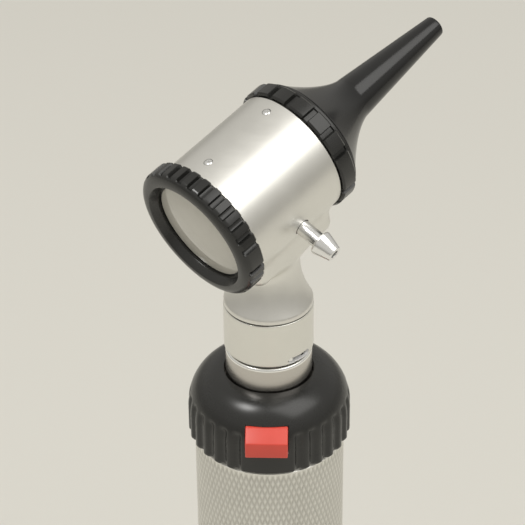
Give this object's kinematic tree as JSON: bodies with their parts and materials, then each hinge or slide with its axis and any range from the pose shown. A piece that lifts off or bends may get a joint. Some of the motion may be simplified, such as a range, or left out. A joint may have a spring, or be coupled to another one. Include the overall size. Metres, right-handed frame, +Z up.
{
  "type": "otoscope",
  "caption": "Battery otoscope: open barrel with eyepiece lens, black ear speculum and hose nipple on a bayonet neck, on a knurled battery handle with a fluted brightness collar.",
  "frame": {"origin": "centre of the end cap's flat bottom face, on the handle's axis", "axes": "+Z up the handle's axis; +Y is the horizontal direction in which the barrel and speculum point; +X is the side of the hose nipple"},
  "size_m": [0.035, 0.0663, 0.1973],
  "materials": {
    "satin_aluminium": "satin, fine turned grain",
    "knurled_aluminium": "satin, fine diamond knurl",
    "chrome": "polished",
    "black_plastic": "semi-gloss moulded",
    "speculum_plastic": "glossy moulded",
    "red_plastic": "satin moulded",
    "black_anodised": "matt black anodised",
    "insulating_plastic": "laminated, matt",
    "white_plastic": "satin moulded",
    "cell_jacket": null,
    "spring_steel": "bright wire",
    "brass": "bright",
    "resistance_alloy": "dull wound wire",
    "rubber": "matt",
    "optical_glass": "polished",
    "bulb_glass": "clear, frosted by use",
    "fibre": "cut fibre ends in a dull jacket"
  },
  "bodies": {
    "handle": {"handle_tube": "knurled_aluminium", "cell_lower": "cell_jacket", "cell_upper": "cell_jacket", "contact_disc": "brass", "insulator_washer": "insulating_plastic", "switch_carrier": "black_plastic", "rheostat_track": "resistance_alloy", "coupling_ring": "chrome", "bayonet_pin_right": "chrome", "bayonet_pin_left": "chrome", "contact_sleeve": "insulating_plastic", "plunger_spring": "spring_steel"},
    "cap": {"end_cap": "knurled_aluminium", "cap_seal": "rubber", "battery_spring": "spring_steel"},
    "collar": {"collar_shell": "black_plastic", "collar_bearing": "white_plastic", "wiper": "brass", "button_spring": "spring_steel"},
    "button": {"lock_button": "red_plastic"},
    "plunger": {"contact_plunger": "brass"},
    "head": {"bayonet_sleeve": "satin_aluminium", "head_housing": "satin_aluminium", "port_nipple": "chrome", "rear_screw": "chrome", "front_screw": "chrome", "lamp_base": "brass", "lamp_bulb": "bulb_glass", "light_guide": "fibre", "nose_cone": "black_anodised"},
    "eyepiece": {"lens_ring": "black_plastic", "magnifier": "optical_glass", "lens_seal": "rubber", "lens_retainer": "black_anodised"},
    "grip": {"front_ring": "black_plastic"},
    "speculum": {"speculum": "speculum_plastic"}
  },
  "joints": [
    {"name": "cap_off", "type": "slide", "parent": "handle", "child": "cap", "axis": [0, 0, -1], "range_m": [0, 0.02]},
    {"name": "collar_turn", "type": "hinge", "parent": "handle", "child": "collar", "pos_m": [0, 0, 0.1241], "axis": [0, 0, 1], "range_deg": [0, 100]},
    {"name": "button_press", "type": "slide", "parent": "collar", "child": "button", "axis": [-0.6984, 0.7157, 0], "range_m": [0, 0.0012], "stiffness_N_per_m": 400, "springref_m": -0.001, "deforming": ["button_spring"]},
    {"name": "plunger_press", "type": "slide", "parent": "handle", "child": "plunger", "axis": [0, 0, -1], "range_m": [0, 0.0012], "stiffness_N_per_m": 500, "springref_m": -0.001, "deforming": ["plunger_spring"]},
    {"name": "head_twist", "type": "hinge", "parent": "handle", "child": "head", "pos_m": [0, 0, 0.14385], "axis": [0, 0, -1], "range_deg": [0, 26]},
    {"name": "lens_ring_turn", "type": "hinge", "parent": "head", "child": "eyepiece", "pos_m": [0, 0, 0.18205], "axis": [0, 0.9573, 0.289], "range_deg": [0, 90]},
    {"name": "grip_ring_turn", "type": "hinge", "parent": "head", "child": "grip", "pos_m": [0, 0, 0.18205], "axis": [0, 0.9573, 0.289], "range_deg": [0, 30]},
    {"name": "speculum_off", "type": "slide", "parent": "head", "child": "speculum", "axis": [0, 0.9573, 0.289], "range_m": [0, 0.03]}
  ]
}
